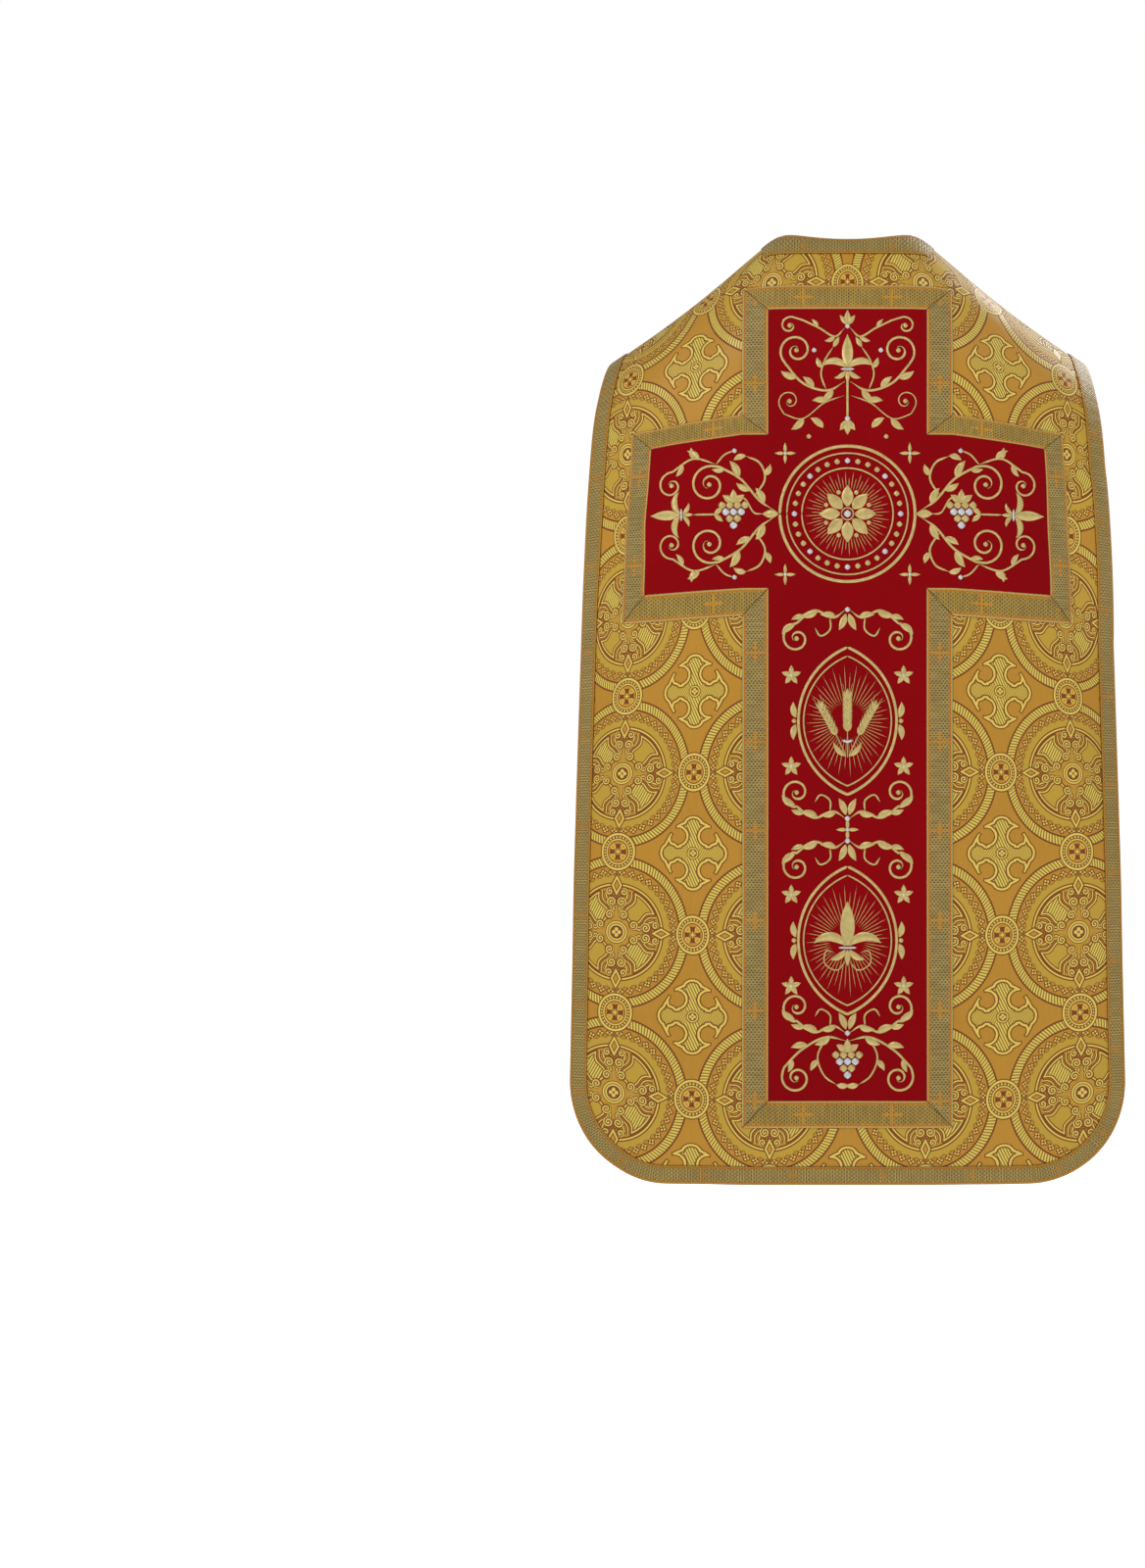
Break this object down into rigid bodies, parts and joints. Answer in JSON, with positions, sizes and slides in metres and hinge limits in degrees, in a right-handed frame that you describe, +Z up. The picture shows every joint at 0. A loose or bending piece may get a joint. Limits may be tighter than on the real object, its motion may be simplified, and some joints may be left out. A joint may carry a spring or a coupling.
{
  "type": "roman chasuble",
  "caption": "Roman chasuble as worn: brocade back cut in one with its yokes, narrower front, red orphreys with woven galloons, satin lining, open sides and neck.",
  "frame": {"origin": "between the two neck points, where the shoulder line meets the neck opening; the wearer's shoulders hold the garment here", "axes": "+Z up, -Y towards the front of the garment, +X towards the wearer's left"},
  "size_m": [0.6384, 0.2632, 1.0991],
  "materials": {
    "brocade": "gold jacquard brocade, satin ground",
    "lining": "orange-gold satin",
    "orphrey": "deep red velvet",
    "galloon": "woven metallic gold braid",
    "gold_thread": "pale gold embroidery thread",
    "silver_thread": "silver embroidery thread"
  },
  "bodies": {
    "root": {"back_panel": "brocade", "front_panel": "brocade", "back_lining": "lining", "front_lining": "lining", "back_orphrey": "orphrey", "front_orphrey": "orphrey", "back_cross_galloon": "galloon", "crossbar_galloon": "galloon", "front_column_galloon_left": "galloon", "front_column_galloon_right": "galloon", "neck_galloon": "galloon", "edge_galloon": "galloon"}
  },
  "joints": []
}
